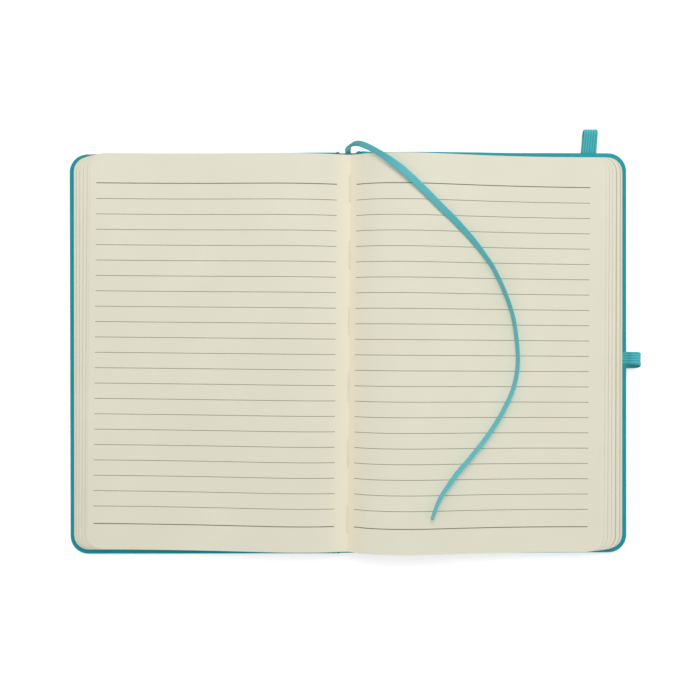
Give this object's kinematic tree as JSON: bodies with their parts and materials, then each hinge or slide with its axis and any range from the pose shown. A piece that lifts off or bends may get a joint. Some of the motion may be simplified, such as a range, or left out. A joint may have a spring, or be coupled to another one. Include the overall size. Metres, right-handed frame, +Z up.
{
  "type": "ruled notebook",
  "caption": "Open case-bound ruled notebook lying face up, with ribbon marker, elastic closure and pen loop; both covers swing about the spine.",
  "frame": {"origin": "on the table, under the middle of the spine", "axes": "+Z up out of the open pages, +Y towards the head, +X towards the back cover's fore-edge"},
  "size_m": [0.2997, 0.223, 0.0204],
  "materials": {
    "cover_skin": "soft-touch imitation leather",
    "board": "grey bookbinding board",
    "endpaper": "matte",
    "leaves": "uncoated cream, ruled",
    "lining": "open-weave lining",
    "thread": "sewing thread",
    "elastic": "ribbed elastic",
    "ribbon": "satin"
  },
  "bodies": {
    "spine": {"spine_strip": "board", "spine_skin": "cover_skin", "page_block": "leaves", "spine_lining": "lining", "sewing_thread": "thread", "ribbon": "ribbon"},
    "front_cover": {"front_board": "board", "front_cover_skin": "cover_skin", "front_endpaper": "endpaper"},
    "back_cover": {"back_board": "board", "back_cover_skin": "cover_skin", "back_endpaper": "endpaper", "elastic_band": "elastic", "pen_loop": "elastic"}
  },
  "joints": [
    {"name": "front_cover_hinge", "type": "hinge", "parent": "spine", "child": "front_cover", "pos_m": [-0.00565, 0, 0], "axis": [0, -1, 0], "range_deg": [0, 90]},
    {"name": "back_cover_hinge", "type": "hinge", "parent": "spine", "child": "back_cover", "pos_m": [0.00565, 0, 0], "axis": [0, 1, 0], "range_deg": [0, 90]}
  ]
}
